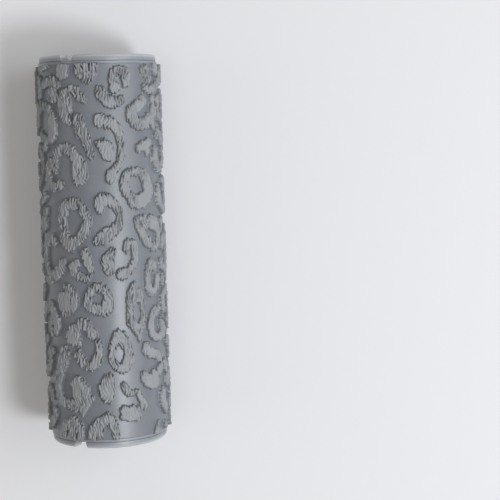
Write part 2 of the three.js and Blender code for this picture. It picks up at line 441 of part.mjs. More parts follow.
const nearCollar = namedMesh('near_end_collar', endCollar(-notchTurn), collarResin);
nearCollar.rotation.z = Math.PI;
nearCollar.position.y = -sleeveLength / 2;
roller.add(nearCollar);

export default roller;
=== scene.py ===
"""The looks of a clay texture roller, on the frame that its CAD model gives.

Sizes are in metres and angles in degrees, apart from those that a name or a comment says are
shares.
"""

import math

import bmesh
import bpy
import numpy as np
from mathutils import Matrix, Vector


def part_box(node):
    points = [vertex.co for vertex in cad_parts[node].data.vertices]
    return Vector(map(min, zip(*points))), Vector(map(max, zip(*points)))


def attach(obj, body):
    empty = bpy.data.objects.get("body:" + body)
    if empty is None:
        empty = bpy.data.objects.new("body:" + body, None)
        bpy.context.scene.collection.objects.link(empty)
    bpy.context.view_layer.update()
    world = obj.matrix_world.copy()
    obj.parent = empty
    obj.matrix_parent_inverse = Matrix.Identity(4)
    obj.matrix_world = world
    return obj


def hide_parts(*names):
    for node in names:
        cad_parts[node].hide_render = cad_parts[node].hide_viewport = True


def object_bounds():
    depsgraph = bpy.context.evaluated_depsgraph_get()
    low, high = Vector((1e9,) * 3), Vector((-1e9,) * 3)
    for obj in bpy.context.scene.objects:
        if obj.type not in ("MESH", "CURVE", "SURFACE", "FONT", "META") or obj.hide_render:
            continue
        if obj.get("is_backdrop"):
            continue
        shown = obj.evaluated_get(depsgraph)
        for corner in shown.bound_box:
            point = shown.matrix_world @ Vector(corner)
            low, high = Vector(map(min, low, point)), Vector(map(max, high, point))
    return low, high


MM = 0.001
# The least that a length or its square counts as where it divides
TINY = 1e-12

# The sleeve. Radii and walls are those of the part's source.
BARREL_RADIUS = 15.3 * MM
RELIEF_HEIGHT = 1.1 * MM
SLEEVE_BORE_RADIUS = 13.3 * MM
STEPS_AROUND = 800
STEPS_ALONG = 480

# The collars: piece, node, and side along Y. Their sizes run from the end face inwards.
COLLARS = [("far_collar", "far_end_collar", 1), ("near_collar", "near_end_collar", -1)]
RIM_LENGTH = 1.5 * MM
RIM_RADIUS = 15.0 * MM
RIM_TAPER = 0.1 * MM
RIM_CHAMFER = 0.35 * MM
BORE_CHAMFER = 0.3 * MM
GROOVE_WIDTH = 0.25 * MM
GROOVE_DEPTH = 0.3 * MM
SHOULDER_RADIUS = 15.2 * MM
COLLAR_WALL = 3.5 * MM
SPIGOT_RADIUS = 13.1 * MM
SPIGOT_LEAD = 0.5 * MM
COLLAR_STEPS = 192
EDGE_ROUNDING = 0.07 * MM
ROUNDING_SEGMENTS = 2
ROUNDING_ANGLE = 30
SHARP_ANGLE = 40

# The straight slot across each end face, which leaves one notch on each side. Its place round the
# rim counts hundredths of the turn.
NOTCH_WIDTH = 3.9 * MM
NOTCH_FLOOR_WIDTH = 2.9 * MM
NOTCH_DEPTH = 1.75 * MM
NOTCH_AROUND = -7.4
NOTCH_COUNT = 2

# The raised marks. One unit of a stroke's width is WIDTH_UNIT. The end points of an open stroke
# move in by a share of its width, for its round caps.
HUNDREDTH = 0.01
WIDTH_UNIT = 0.98 * MM
END_PULL_SHARE = 0.2
CURVE_STEPS = 3
EDGE_SOFTNESS = 0.2 * MM

# The hairs that make up each mark run along the roller, in two layers that lean opposite ways.
# Each layer has a lean, which is a share, and the seed of its random values. Cells are the number
# of random values round and along the sleeve. A higher ridge power makes narrower gaps.
HAIR_LEAN = 0.16
HAIR_LAYERS = [(HAIR_LEAN, 11), (-HAIR_LEAN, 21)]
HAIR_PITCH = 0.74 * MM
HAIR_LENGTH = 0.95 * MM
HAIR_SWAY = 0.8 * MM
SWAY_CELLS = (26, 24)
HAIR_CURL = 0.38 * MM
CURL_CELLS = (90, 60)
HAIR_REACH = 0.5 * MM
RIDGE_POWER = 4
MARK_GROWTH = 0.25 * MM
GAP_BITE = 0.55 * MM
ROW_MARGIN = 0.001

# How high the hairs and the gaps between them stand, as shares of the relief
LOWEST_HAIR = 0.15
GAP_FLOOR = 0.42
GAP_FLOOR_CHANGE = 0.5
GAP_FLOOR_RANGE = (0.1, 0.85)
GAP_FLOOR_CELLS = (40, 38)

# The pads, where the gaps are shallow. Their floor and their neatness are shares.
PAD_FLOOR = 0.8
PAD_EDGE = 1.6 * MM
PAD_NEATNESS = 0.55

# The resin. Its tone changes over two bands of the relief's height, which are shares of it: the
# lower band is painted shade at the foot of the marks, and the upper one is the tops' own tone. A
# noise is its scale, its detail and its roughness.
BARREL_COLOUR = (0.177, 0.194, 0.225, 1)
# Painted shade for the foot and the walls of the marks, not a colour of the resin
GAP_SHADE_COLOUR = (0.138, 0.145, 0.155, 1)
TOP_COLOUR = (0.3, 0.314, 0.338, 1)
GAP_SHADE_BAND = (0.02, 0.25)
TOP_BAND = (0.3, 0.85)
COLLAR_COLOUR = (0.27, 0.292, 0.33, 1)
BARREL_ROUGHNESS = 0.4
TOP_ROUGHNESS = 0.62
ROUGHNESS_CHANGE = 0.04
RESIN_SPECULAR = 0.95
NOISE_RANGE = (0.3, 0.7)
CLOUD_NOISE = (260.0, 4.0, 0.6)
CLOUD_CHANGE = 0.06
GRAIN_NOISE = (5200.0, 2.0, 0.5)
GRAIN_DEPTH = 0.03 * MM
GRAIN_STRENGTH = 0.5

# The painted highlight on the edge next to each end face, from its start and from where it is
# brightest
EDGE_HIGHLIGHT_COLOUR = (0.47, 0.49, 0.52, 1)
EDGE_HIGHLIGHT_WIDTH = 1.0 * MM
BRIGHTEST_WIDTH = 0.3 * MM

# The floor and the background, which the camera sees the floor fade into
FLOOR_SIZE = 4.0
FLOOR_COLOUR = (0.89, 0.89, 0.92, 1)
FLOOR_ROUGHNESS = 0.9
FLOOR_SPECULAR = 0.2
BACKGROUND_COLOUR = (0.72, 0.72, 0.74, 1)
FADE_START = 0.16
FADE_END = 0.55

# The camera, fitted to the outline of the object in a frame of 500 by 500. Its sensor and lens
# are in millimetres.
SENSOR_WIDTH = 36.0
LENS = 96.05
CAMERA_PLACE = (28.69 * MM, 32.67 * MM, 350.19 * MM)
CAMERA_TILT = (-5.53, -1.72, -1.43)

# The light from all round, and the lamps: name, angle towards +X, angle towards +Y, distance,
# width, share of full light, colour
COOL = (0.94, 0.97, 1.0)
WARM = (1.0, 0.96, 0.88)
AMBIENT_SHARE = 0.25
LAMPS = [
    ("key", 52, 8, 0.7, 0.7, 0.46, COOL),
    ("band", 31, -15, 0.7, 0.17, 0.33, COOL),
    ("top", -8, 0, 0.7, 0.34, 0.075, COOL),
    ("fill", -60, 0, 0.7, 0.5, 0.065, WARM),
    ("near_fill", 0, -66, 0.7, 0.4, 0.05, WARM),
    ("far_fill", 0, 66, 0.7, 0.4, 0.05, WARM),
]

# The marks as strokes: rows of (around, along, width). Around counts hundredths of the turn, from
# the top towards +X. Along counts hundredths of the sleeve's length, from its middle.
MARKS = [
    [(-8.2, 50, 3.2), (-8.2, 48, 3), (-8.5, 46.9, 1.8)],
    [(-3.9, 50, 1.9), (-2.9, 47.2, 2.2), (-1.6, 46, 2), (-0.4, 47.4, 2), (0.5, 50, 1.8)],
    [(-1.8, 50, 1.2), (-1.6, 47.8, 1.4)],
    [(4.6, 44.9, 1.3), (5.1, 47, 1.9), (6.6, 48.2, 2.1), (8.1, 47.3, 2.6), (8.5, 45.6, 1.9),
     (8.2, 44.2, 1.7)],
    [(1.4, 43, 2.6), (2.4, 41.2, 3), (4.2, 39.9, 2.6), (6.2, 39.8, 2), (7.6, 41.2, 1.3)],
    [(13.6, 48.8, 1.6), (15.2, 47.6, 3), (15.9, 45.5, 1.8)],
    [(19.2, 50, 1.8), (19.6, 47.4, 2.4)],
    [(14, 43.4, 1.8), (17, 43.2, 1.8), (20, 44, 1.8), (22, 46, 1.8), (22.4, 48, 1.6)],
    [(14, 40.2, 2.2), (11.4, 38.6, 2.6), (9.7, 37.2, 2.8), (10.4, 34.9, 3), (13, 34, 3),
     (15.2, 35, 2.4), (16.4, 36.2, 1.4)],
    [(17.4, 41, 1.8), (17.6, 38.4, 2), (17.4, 35.6, 1.8), (17, 33.2, 1.4)],
    [(19.4, 40.2, 1.6), (22, 40.6, 1.6)],
    [(20.6, 39, 1.4), (21, 36.6, 1.4), (21.2, 35.2, 1.2)],
    [(23.4, 41.6, 1.4), (25.2, 42, 2), (25.8, 39.6, 1.8), (24.8, 36.8, 1.8), (23.2, 34.8, 2.2)],
    [(-15.8, 44.4, 1.4), (-14.2, 45.5, 1.8), (-12.2, 46.1, 2), (-10.6, 45.3, 2),
     (-9.9, 44.3, 1.4)],
    [(-12, 43.4, 2), (-11.4, 42.2, 2.6), (-11.2, 41.2, 2.2)],
    [(-13.8, 50, 1.6), (-16.4, 49.6, 1.8)],
    [(-18.2, 46.4, 2), (-17.4, 44, 2.2), (-18.4, 41.8, 1.8)],
    [(-4.8, 43.4, 1.8), (-6.8, 42.6, 2.6), (-8.2, 40.8, 3), (-8.4, 38.2, 2.6), (-7.6, 35.8, 2.2),
     (-6.6, 34.7, 1.4)],
    [(-4.8, 43.4, 1.8), (-3.8, 41.8, 2), (-2.6, 40.2, 1.4)],
    [(-7, 42.6, 1.6), (-6.8, 40, 1.4), (-6.5, 37.6, 1.2)],
    [(-19.8, 34, 1.6), (-19.4, 37, 1.8), (-17.4, 39.2, 1.8), (-14.8, 39.3, 1.9), (-12.8, 37.4, 2),
     (-12.1, 34.6, 2.3), (-12.2, 31.8, 2.2), (-13.8, 30.2, 1.8), (-16, 30.6, 1.8),
     (-18, 31.8, 1.6)],
    [(-15.2, 30.4, 2), (-16.2, 27.6, 1.8)],
    [(-4.4, 36.2, 2.4), (-3.9, 33.4, 3.2), (-2.4, 30.4, 2.6), (-1.5, 27.8, 1.9),
     (-1.1, 25.7, 1.5)],
    [(0.8, 35.2, 3.2), (3, 34.8, 3), (5, 33.6, 2.4), (6.2, 31.2, 2), (6.6, 28.4, 1.8),
     (6.6, 26, 1.8), (6, 24.6, 1.4)],
    [(6.2, 23.6, 1.4), (4.8, 22.4, 1.8), (3.6, 20.8, 2.2), (3.2, 19.4, 1.8)],
    [(11.4, 27.6, 2), (13.2, 28, 2.6), (15.2, 29.2, 2)],
    [(14.4, 27, 1.4), (14.6, 25.6, 1.2)],
    [(18.2, 27.2, 1.8), (18, 24.4, 2.2), (19.6, 22.4, 2.4), (22.2, 22.4, 2.4), (24, 24.2, 2.2),
     (24, 27, 1.8)],
    [(18.8, 30.4, 1.4), (20.2, 32.2, 1.4), (21.6, 30.4, 2), (22.6, 29, 1.8)],
    [(-11.2, 26.2, 2), (-9.2, 27.6, 2.4), (-7.2, 27.8, 2.4), (-5.3, 26, 2.6), (-4.4, 23.4, 3.5),
     (-4.2, 20.9, 3.7), (-4.4, 19.4, 2.9)],
    [(-11.2, 24.8, 2), (-13.4, 24, 2.4), (-14.6, 21.6, 2.2), (-14.2, 19, 2.2), (-12.4, 17.8, 2.2),
     (-9.8, 18.5, 2.2)],
    [(-12.4, 24.6, 1.6), (-11.9, 23.2, 1.8), (-11.8, 22, 1.4)],
    [(0.8, 29.2, 1.8), (2.4, 28.2, 3.4), (2.9, 26.4, 3), (2.9, 25.5, 2.2)],
    [(4.9, 43, 2.2), (5.7, 44.3, 2.6)],
    [(0.6, 11.4, 1.8), (0.8, 14, 2.8), (2.8, 14.4, 2.6), (4.6, 12.4, 2), (5.8, 10, 1.6),
     (5.2, 7.6, 2.2), (3.4, 5.8, 2.6), (1.4, 4.4, 3), (-0.6, 3, 2.2)],
    [(7, 0.8, 1.6), (7.4, 2.4, 1.8), (8.9, 2.4, 1.8), (9.4, 0.2, 1.6), (9.2, -2.4, 1.6),
     (8, -4.4, 1.8), (6.5, -5.2, 2.7), (5.2, -5.9, 2.5)],
    [(3.8, 0.6, 1.6), (2.3, -0.8, 2.6), (2.1, -2.8, 3.2), (2.6, -4.8, 2)],
    [(10.2, 8.2, 2.2), (12.8, 8, 3.2), (15.8, 7.6, 3.4), (17.6, 6, 2.4)],
    [(17.9, 6.2, 1.8), (18.2, 3.4, 1.6), (17.8, 1.2, 1.6)],
    [(10.6, 7.2, 1.8), (11.8, 5, 2), (13.6, 2.6, 2.2), (15.4, 1, 1.8), (17.4, 0.9, 1.6)],
    [(-20.2, 8, 3), (-18.4, 7.4, 3.4), (-17.6, 9.2, 2.2), (-16.6, 11.8, 1.6)],
    [(-20, 13.4, 1.4), (-18, 14.4, 1.8), (-16.4, 15.6, 1.8)],
    [(-12.8, 2.6, 1.4), (-14.2, 4, 1.8), (-16.4, 3.2, 2), (-17.8, 0.6, 2), (-17.8, -2.2, 2.2),
     (-16.6, -5.2, 2.6), (-14.2, -6.2, 2.8), (-12, -5, 2.2), (-10.6, -3.2, 2.2), (-10, -1.8, 1.4)],
    [(-5.6, -2.2, 1.8), (-7.2, -3.2, 1.9), (-7, -4.8, 2), (-4.8, -6, 2.1), (-2.9, -6.3, 1.8)],
    [(-3.9, 1, 1.9), (-3.2, -1.2, 2), (-2.6, -3.2, 1.8), (-1.9, -4.5, 1.4)],
    [(17.4, -15.8, 1.6), (15.4, -16.8, 2.2), (13.8, -19, 1.8), (13.8, -21.8, 1.8),
     (15.6, -23.6, 1.8), (18, -23.4, 2.4), (19.6, -21.6, 2.2), (18.4, -19.4, 2.4)],
    [(-9.8, -8.8, 1.4), (-8, -9.4, 1.6), (-7, -11.4, 1.6), (-7.2, -13.8, 1.6), (-8.6, -15.6, 1.6),
     (-10.4, -16.4, 1.2)],
    [(-11.2, -10.6, 2.2), (-10.7, -12.6, 2.8), (-10.6, -14.8, 2.4)],
    [(-9.3, -10.6, 2.4), (-9.2, -12.6, 2.2), (-9.2, -14.8, 2.2)],
    [(8.6, -8.7, 2.2), (8.3, -12, 3.2), (7.5, -15.4, 1.6), (7.8, -18.6, 2.2), (9.4, -20.8, 2.2)],
    [(9.6, -10, 1.8), (10.8, -12.8, 1.8), (11.5, -16, 1.5), (11.1, -19, 1.7), (9.9, -20.6, 1.8)],
    [(9.6, -21.4, 1.4), (10.2, -23.4, 1.2)],
    [(-8, -23, 3.6), (-7.8, -21, 3.6), (-6.4, -19.4, 2.4), (-4.6, -18.2, 2), (-3.2, -20.2, 2.4),
     (-2, -22.4, 1.8)],
    [(-0.9, -23.4, 1.4), (-0.8, -26, 1.6), (-1.6, -28.6, 2.4), (-3.4, -29.8, 2.4),
     (-5.6, -28.7, 2.1), (-6.7, -26.4, 2)],
    [(-6.5, -22, 1.5), (-6.4, -24.2, 1.5)],
    [(-21.8, -18.6, 1.8), (-20.6, -16.4, 2.2), (-18, -14.8, 2.4), (-15.6, -14.4, 2.2),
     (-14, -16.4, 2.2), (-13.4, -19, 2.2), (-13.8, -21.6, 1.6)],
    [(-15.8, -20.4, 1.6), (-15.8, -22, 1.4)],
    [(-23.2, -21, 1.8), (-24.2, -24, 2), (-25, -29, 2.2), (-23.6, -32.8, 2.2), (-21, -33.2, 2.2),
     (-18.6, -31.6, 2.4), (-17.2, -29, 2), (-17.4, -26.8, 1.8), (-15.2, -26.4, 1.4)],
    [(-20.4, -24.8, 1.8), (-19, -23, 1.4)],
    [(-11, -25.8, 2.6), (-11.1, -28.2, 3.3), (-12.3, -30.8, 2.9), (-13.4, -33.6, 2.4),
     (-13.8, -36.6, 2.4), (-13, -39.2, 2.6), (-10.6, -40.6, 2.4), (-8, -40.6, 2.6),
     (-5.4, -40.2, 2.8), (-4.6, -37.6, 2.2), (-5.4, -35.2, 2), (-7.2, -33.8, 1.8),
     (-8.6, -34.6, 1.4)],
    [(-5, -40.6, 2.4), (-3, -38.6, 1.2)],
    [(-7.9, -34.8, 1.4), (-7.2, -36.6, 2), (-7.2, -38.8, 2.2)],
    [(-5.4, -41.2, 1.8), (-6, -43, 1.2)],
    [(1.2, -32.9, 2.6), (0.9, -35.2, 3.6), (0.6, -37, 4), (1.3, -39, 2.6)],
    [(5.2, -35.2, 1.7), (5.9, -36.8, 1.7), (7.2, -38, 1.5)],
    [(8.6, -37.4, 1.2), (9.6, -39.2, 1.4), (10.8, -41.4, 1.6)],
    [(4.5, -42.2, 1.9), (9.3, -42.5, 1.9)],
    [(4.5, -43.9, 1.9), (9.2, -44.2, 1.9)],
    [(10.4, -42.2, 1.8), (10.2, -40.4, 1.4)],
    [(12.6, -24.6, 1.4), (11.8, -26.6, 2.2), (13.6, -27.6, 2.4), (15.8, -28.4, 2.2),
     (17.6, -29.6, 1.6)],
    [(10.8, -33.2, 2), (11.8, -34.6, 2.8), (13.6, -35.5, 3.4), (15.8, -35.8, 2.8)],
    [(13.8, -33.4, 1.6), (16, -33.2, 2), (17.6, -31.6, 1.8)],
    [(20.4, -30.8, 1.8), (20.6, -33.2, 1.6)],
    [(-14.6, -49, 2), (-12.6, -47.4, 2.2), (-10.6, -45.8, 2.4), (-8.4, -45.4, 2.4), (-7, -47, 2),
     (-6.8, -50, 1.6)],
    [(-9.4, -46.8, 2.4), (-9.6, -50, 2.4)],
    [(-12.6, -48.6, 2.2), (-12.2, -50, 2.2)],
    [(-3.4, -50, 2), (-2.8, -46.8, 2.4), (-0.8, -45, 2.4), (0.8, -44, 2.4), (2.2, -46.2, 2.2),
     (2.8, -49.6, 1.6)],
    [(-1.2, -46.2, 1.6), (-1.4, -48.8, 1.4)],
    [(15, -50, 2), (15.8, -47.4, 1.6)],
    [(18.4, -38.6, 1.8), (18, -40.8, 2), (19, -43, 2.2), (20.8, -44.8, 2)],
    [(21.8, -37.4, 1.8), (22, -35.2, 2), (24, -34.8, 2), (25.8, -36.8, 2.2), (26.8, -39.4, 2.4),
     (26, -42, 2.4), (24, -43.6, 2.2)],
    [(19.2, -48.4, 1.4), (21, -48.6, 1.2)],
    [(25, 50, 1.4), (25.6, 47, 1.6), (27.2, 45.8, 2.2), (28.8, 47, 2), (29.6, 50, 1.8)],
    [(39.4, 34.6, 2.2), (41.4, 36, 2.4), (43.4, 34.6, 2.4), (44.2, 31.8, 2), (44, 29.2, 1.8)],
    [(39, 32.6, 2), (39, 29.8, 1.8), (39.8, 27.6, 2), (41.4, 27.8, 2.2), (41.8, 30.2, 1.6)],
    [(31.2, 33, 1.8), (29.8, 34, 2), (27.4, 32.8, 2.2), (26.2, 30.6, 2), (27, 28.6, 1.8),
     (28.6, 26.6, 1.8)],
    [(32.6, 29.6, 1.8), (34.4, 28.4, 2.6), (35.4, 25.8, 2.4), (34.4, 23.6, 2.4), (32.6, 23.4, 2.4),
     (30.8, 24.6, 2)],
    [(39.8, 49, 1.6), (40.6, 46.6, 2.2), (41.8, 44.6, 2.4), (43.4, 45.4, 2.2), (44.6, 47.8, 2)],
    [(48.4, 50, 1.8), (49.8, 48.4, 1.8), (51.4, 47.8, 1.6)],
    [(45.2, 38.4, 1.8), (44.8, 40.6, 1.8), (46.2, 42.6, 2), (48.2, 42.8, 2), (49.9, 41, 2),
     (50.4, 38.4, 2), (51, 35.6, 2), (48.6, 33.6, 2)],
    [(46.9, 36.8, 1.6), (47.4, 39.4, 1.6)],
    [(49.4, 28.6, 1.4), (48.8, 27.2, 2)],
    [(45.6, 25.2, 1.8), (45, 22.6, 2), (46, 19.8, 2.4), (48, 17.8, 2.6), (49.8, 19.6, 2.4),
     (50.6, 22.4, 1.8)],
    [(19.2, 17.2, 1.6), (19.2, 14.4, 2), (20.6, 12.2, 1.8), (22.8, 10.8, 2.2), (24.8, 11.8, 2.6),
     (25.8, 14.8, 2.8), (25, 17.8, 2.6), (22.2, 18.6, 1.8)],
    [(20.8, 8, 1.6), (20.7, 6.4, 1.6)],
    [(30.4, 19.2, 1.6), (29.8, 16.4, 2.4), (29.2, 13.6, 2.6), (29.6, 10.8, 2.4), (32, 8.8, 2.2),
     (34.6, 7.6, 2.2)],
    [(36.2, 19.4, 1.6), (35.2, 17, 2), (34.6, 14.6, 2.4), (34.6, 12.6, 2)],
    [(39, 22.2, 1.4), (39.4, 19.8, 2.4), (40.8, 17.8, 2.8), (41.6, 15, 2.4), (41, 12.4, 2.2),
     (39.2, 10.2, 2.4), (37, 11, 2)],
    [(27.8, 5.4, 1.8), (26.8, 3.6, 1.8), (28.4, 1.8, 2), (29.6, -0.6, 2.8), (31.6, -1.2, 2.4)],
    [(30.2, 4.8, 1.8), (31.4, 3.2, 2.2), (32.4, 1.6, 1.8)],
    [(20.6, 0.6, 1.6), (21.2, 2.8, 1.8), (23.2, 2.4, 1.8), (24.8, 0.2, 1.8), (25, -3, 1.8),
     (23.4, -5.4, 1.8), (20.8, -5, 1.8), (19.6, -3.2, 1.6)],
    [(19.9, -8, 1.4), (19.8, -9.6, 1.4)],
    [(37.4, 2, 2), (39.2, 3.4, 2), (41.6, 3.4, 2), (43.2, 1.4, 2.2), (43.4, -1.6, 2.4),
     (43, -4.6, 2.2)],
    [(35.2, 0.4, 2), (34.6, -3, 2), (35.6, -6, 2.2), (37, -8.6, 2.4), (39.4, -10.4, 2.6),
     (42.4, -10.6, 2.4)],
    [(37.6, -1.2, 2), (38.6, -3.4, 2), (39.6, -6, 2)],
    [(22.2, -11.8, 1.6), (20.2, -12.4, 1.8), (19.8, -14.8, 1.8), (20.8, -17.2, 1.8)],
    [(24.4, -12.6, 2), (26.2, -14.2, 2), (26.8, -17.2, 1.8), (26.4, -20, 2.4), (24.8, -21.4, 2),
     (23.2, -19.6, 2)],
    [(32.6, -17.8, 1.4), (31.4, -18.6, 1.6), (31.2, -20.6, 1.4)],
    [(29.9, -22.8, 1.4), (29.8, -24.4, 1.4)],
    [(34.8, -18.4, 1.6), (35, -15.8, 2), (37.2, -14.8, 2.2), (38.8, -17.4, 1.8),
     (39.4, -20.6, 1.8), (38.8, -23.6, 2), (36.6, -25.2, 2.2), (34.4, -24.6, 2)],
    [(44.4, -15.6, 1.6), (43.2, -17.4, 2), (42.6, -19.8, 2), (42.2, -22, 1.6)],
    [(46, -17.2, 1.8), (46.4, -19.8, 2.2), (46.2, -22.8, 2.4), (45, -25.4, 2.4),
     (43.4, -28.2, 2.2), (41, -29.4, 1.6)],
    [(47, -6.2, 1.8), (46, -8.2, 2), (47, -10.6, 2.2), (49.2, -12.8, 2.4), (51.2, -11.6, 2.4),
     (52, -9, 2.2), (51.2, -6, 2.2)],
    [(22, -25.4, 1.6), (24, -26, 2.2), (25.6, -27.6, 2), (25.8, -30.4, 1.4)],
    [(30.6, -27.4, 1.6), (28.8, -29.4, 1.8), (28.2, -32.2, 1.8), (29, -35.2, 1.8),
     (29.6, -38.2, 1.8), (30.8, -40.4, 1.8)],
    [(32.4, -28.4, 1.4), (32.7, -31.2, 1.8), (32.8, -34, 1.8)],
    [(31.8, -37.6, 1.2), (33, -36.8, 1.2)],
    [(38, -30.4, 1.6), (37.4, -33.4, 2)],
    [(39.2, -31.4, 1.6), (40.2, -33.6, 1.8), (41.4, -36, 1.6)],
    [(34.8, -38.2, 2), (33.7, -41, 1.8), (33.5, -43.4, 1.4)],
    [(44.8, -33.4, 1.6), (43.5, -35.4, 2), (43.5, -38.4, 2), (44.6, -41.2, 2), (46.4, -41.6, 2),
     (48.2, -39.4, 1.8), (48.8, -36.6, 1.8), (47.8, -34, 1.8), (48.6, -32.2, 1.6)],
    [(25.8, -50, 1.8), (26.8, -46.8, 1.8), (29, -45.2, 1.8), (31.4, -45.8, 2), (32.4, -48.6, 2)],
    [(43.2, -50, 1.2), (45, -47.6, 1.8), (46.8, -48, 1.6)],
    [(52, -40.8, 1.6), (51, -43.4, 2), (50.2, -46.2, 2.2), (50.4, -50, 1.8)],
    [(-29, 48.4, 1.8), (-28.8, 46, 1.8), (-27.4, 46.2, 1.6)],
    [(-25, 50, 1.4), (-25, 47.4, 1.4)],
    [(-22, 48, 1.4), (-22.2, 45.4, 1.6), (-22.6, 42.8, 1.6), (-23.6, 40.4, 1.4)],
    [(-24.6, 43.6, 1.2), (-26.4, 43.2, 1.4), (-26.7, 40.2, 1.4)],
    [(-28.4, 37.6, 1.6), (-28.2, 35.4, 1.8), (-26.6, 34.4, 2), (-25.2, 35.8, 1.8)],
    [(-19.6, 39.4, 1.8), (-20.2, 37.2, 2.2), (-21, 34.8, 2.4), (-22.2, 32.2, 2)],
    [(-22, 26.4, 1.8), (-20.8, 28, 2), (-18.8, 27.6, 2), (-17.8, 25.2, 2.2), (-17.8, 22.6, 2),
     (-19.2, 20.6, 2.2), (-22.2, 18.2, 2)],
    [(-22.4, 23.4, 1.4), (-22.6, 21.2, 1.4)],
    [(-26.6, 28.4, 2.2), (-27.8, 25.2, 3), (-28.6, 22.2, 2.4)],
    [(-27.2, 17.8, 1.8), (-27, 15.4, 1.6)],
    [(-25.4, 18.6, 1.2), (-24.8, 16.8, 1.2)],
    [(-24, 13.6, 1.4), (-24.6, 11.6, 1.6), (-24.6, 9.4, 1.4)],
    [(-30.4, 11, 1.8), (-28.4, 11.4, 1.8), (-26.8, 10.4, 1.4)],
    [(-30.4, 7.6, 1.8), (-30.2, 4.8, 2), (-28.8, 2.6, 1.8)],
    [(-23, 6, 1.4), (-24.6, 5.6, 1.6), (-25.2, 3.4, 1.8), (-25.6, 0.8, 1.6)],
    [(-21, 1.6, 1.6), (-22.6, 0, 1.8), (-23.4, -1.4, 1.6)],
    [(-25.4, -4.2, 1.6), (-27.4, -5, 2.2), (-28, -7.6, 2.2), (-26.8, -10.2, 2.4),
     (-24.6, -12, 2.4), (-22, -11.6, 2.4), (-20.2, -9.4, 2.2)],
    [(-21.2, -3.6, 1.4), (-21.4, -6.2, 1.4)],
    [(-28.8, -14.8, 2.2), (-29.4, -17.6, 2.2), (-29.2, -20.4, 1.8), (-28, -22.6, 1.4)],
    [(-29.6, -26.4, 1.6), (-29.8, -29.6, 1.8), (-29.8, -33.6, 1.6)],
    [(-30.2, -38.6, 1.8), (-28.2, -37.8, 1.6), (-26.6, -39.8, 1.6), (-26, -42.6, 1.6),
     (-27.2, -45, 2)],
    [(-20.8, -39, 1.8), (-19.4, -37.4, 1.8), (-17.4, -37.6, 1.8), (-16.8, -39.6, 1.8)],
    [(-21.4, -42.2, 1.6), (-21, -44.6, 2), (-19.6, -46.8, 2.4), (-17.4, -46.4, 2.2),
     (-16, -44.4, 1.8), (-15.9, -42.4, 1.4)],
    [(-24.2, -50, 1.4), (-22.8, -48.4, 1.2)],
    [(54.4, 45.6, 1.8), (56.2, 46.6, 2.2), (58.2, 45.6, 2.2), (58.8, 43, 2), (57.4, 41, 2)],
    [(62.4, 50, 1.8), (62, 47.2, 2.2), (64, 45.6, 2.2), (66.2, 46.6, 2)],
    [(54.6, 38.6, 2), (54.4, 35.8, 2.4), (56.2, 33.6, 2.4), (58.8, 33.6, 2.2), (60.2, 35.8, 1.8)],
    [(63.4, 40.8, 2), (65.4, 39.4, 2.4), (66.6, 37, 2.2), (66, 34.4, 2)],
    [(62.4, 37.4, 1.4), (62.6, 35.2, 1.6)],
    [(54, 28.8, 1.8), (55.8, 29.8, 2.2), (58, 29, 2.4), (58.8, 26.4, 2.2), (57.6, 23.8, 2.2),
     (55.2, 23.2, 2)],
    [(62.2, 30.4, 1.6), (64.4, 29.6, 2), (66, 27.4, 2)],
    [(62.4, 25.6, 2), (62.6, 22.8, 2.4), (64.6, 20.8, 2.4), (67, 21.2, 1.8)],
    [(54.2, 18.6, 1.6), (56.4, 17.6, 2), (58.6, 18.4, 1.8)],
    [(63.4, 15.6, 1.8), (64.8, 13.4, 2.2), (65.4, 10.8, 1.8)],
    [(63.6, 5.6, 1.8), (65.2, 3.8, 2.2), (65.4, 1, 2.2), (63.8, -0.8, 1.8)],
    [(55, 2, 1.6), (57, 1, 2), (59, -0.6, 2)],
    [(55.8, -5, 2), (57.8, -4.2, 2.2), (59.8, -5.4, 2.2), (60.4, -8.2, 2.2), (58.8, -10.6, 2.2),
     (56.4, -10.8, 2)],
    [(64.2, -5.6, 1.8), (65.4, -8, 2), (65.2, -10.8, 1.6)],
    [(56.8, -15.6, 1.6), (57.8, -18, 2), (57.4, -20.6, 1.8)],
    [(57, -26, 2), (59.2, -26.8, 2.2), (60.4, -29.4, 2.2), (59.4, -32.2, 2)],
    [(54.6, -30.4, 1.8), (54.8, -33.4, 2.2), (56.6, -35.6, 2)],
    [(64.6, -26.4, 1.8), (65.6, -29.2, 2.2), (64.6, -32, 2)],
    [(61.6, -36.2, 1.8), (63.8, -37, 2.2), (65.6, -39.4, 2.2), (65.2, -42.4, 2.2),
     (63, -43.6, 1.8)],
    [(55.4, -40.4, 2), (57.6, -40, 2.2), (59.2, -42, 2.2), (58.6, -44.6, 2)],
    [(55.6, -50, 1.6), (56.6, -47.8, 1.8)],
    [(61.6, -50, 1.8), (62.8, -47.6, 1.8), (65, -47.2, 1.6)],
    [(67.6, -50, 1.6), (67.8, -47.8, 1.6)],
]

